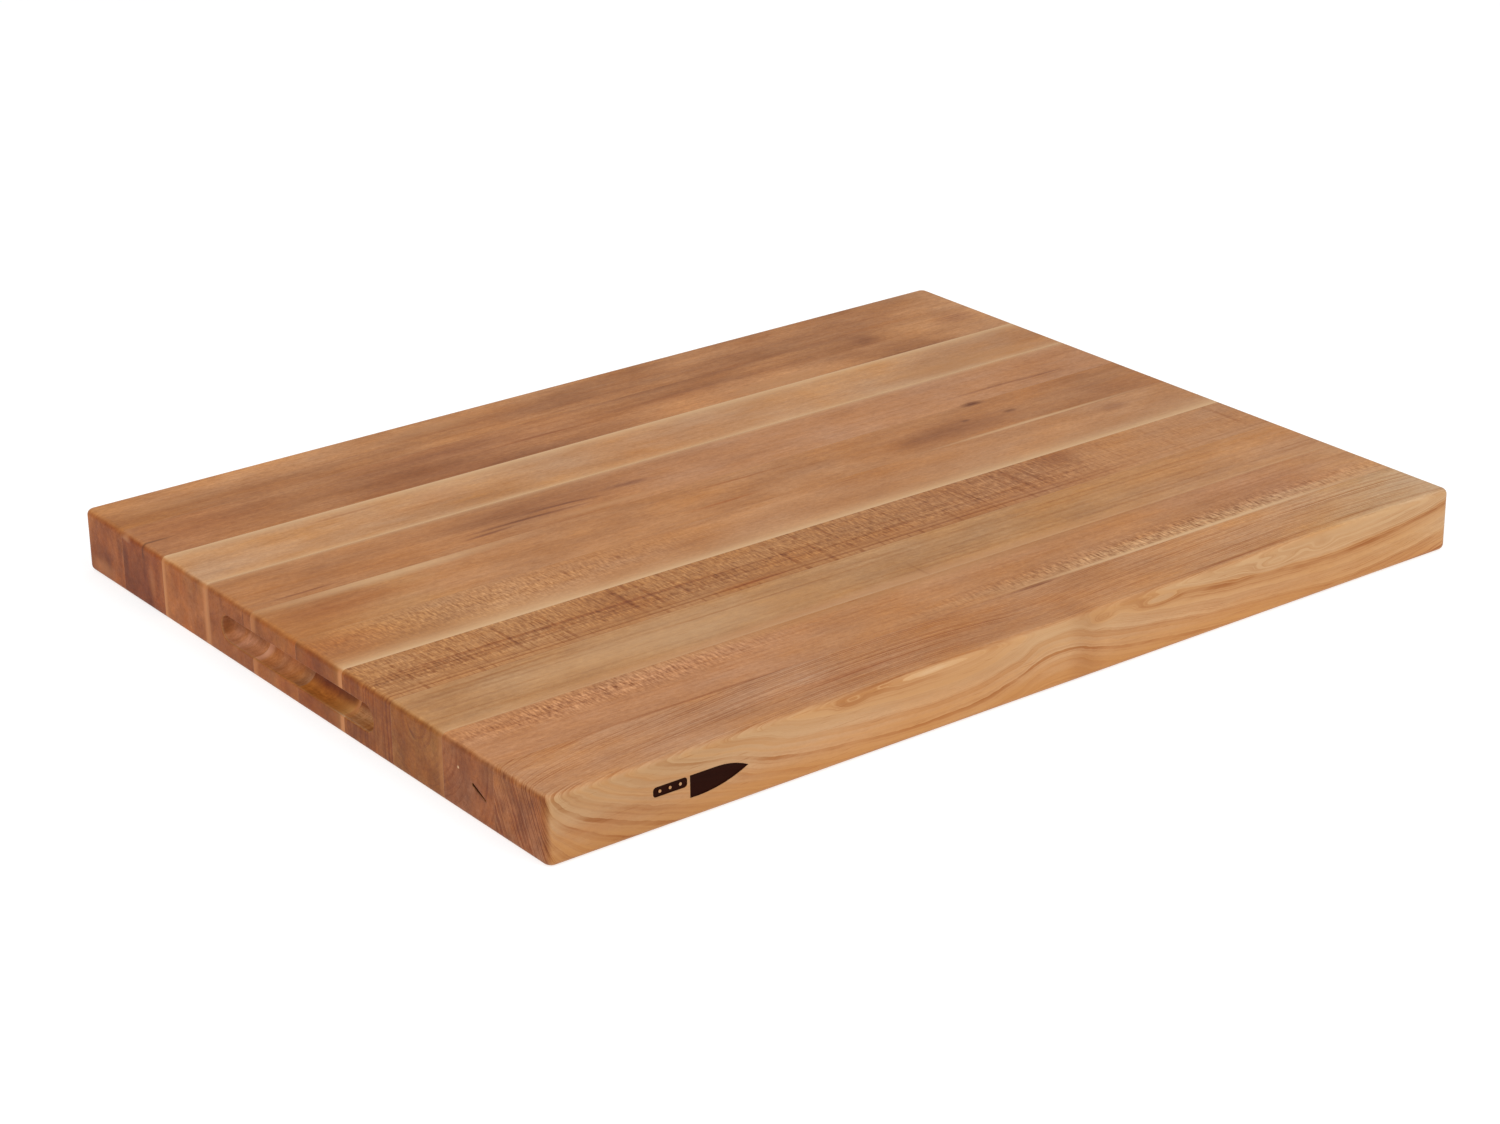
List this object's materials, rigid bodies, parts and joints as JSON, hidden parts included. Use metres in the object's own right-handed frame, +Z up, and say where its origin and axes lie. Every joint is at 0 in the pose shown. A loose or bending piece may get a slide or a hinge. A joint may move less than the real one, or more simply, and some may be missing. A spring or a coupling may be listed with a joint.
{
  "type": "cutting board",
  "caption": "Thick rectangular edge-grain hardwood cutting board of glued staves, with eased edges and a routed finger grip in each short end; reversible.",
  "frame": {"origin": "centre of the bottom face", "axes": "+X along the grain, which is the board's length; +Y to the rear edge, across the staves; +Z up, through the thickness"},
  "size_m": [0.6096, 0.4572, 0.0365],
  "materials": {
    "rear_edge_stave": "oiled, satin",
    "stave_2": "oiled, satin",
    "stave_3": "oiled, satin",
    "stave_4": "oiled, satin",
    "stave_5": "oiled, satin",
    "stave_6": "oiled, satin",
    "stave_7": "oiled, satin",
    "stave_8": "oiled, satin",
    "stave_9": "oiled, satin",
    "front_edge_stave": "oiled, satin",
    "glue_lines": "cured glue, sanded flush"
  },
  "bodies": {
    "root": {"rear_edge_stave": "rear_edge_stave", "stave_2": "stave_2", "stave_3": "stave_3", "stave_4": "stave_4", "stave_5": "stave_5", "stave_6": "stave_6", "stave_7": "stave_7", "stave_8": "stave_8", "stave_9": "stave_9", "front_edge_stave": "front_edge_stave", "glue_lines": "glue_lines"}
  },
  "joints": []
}
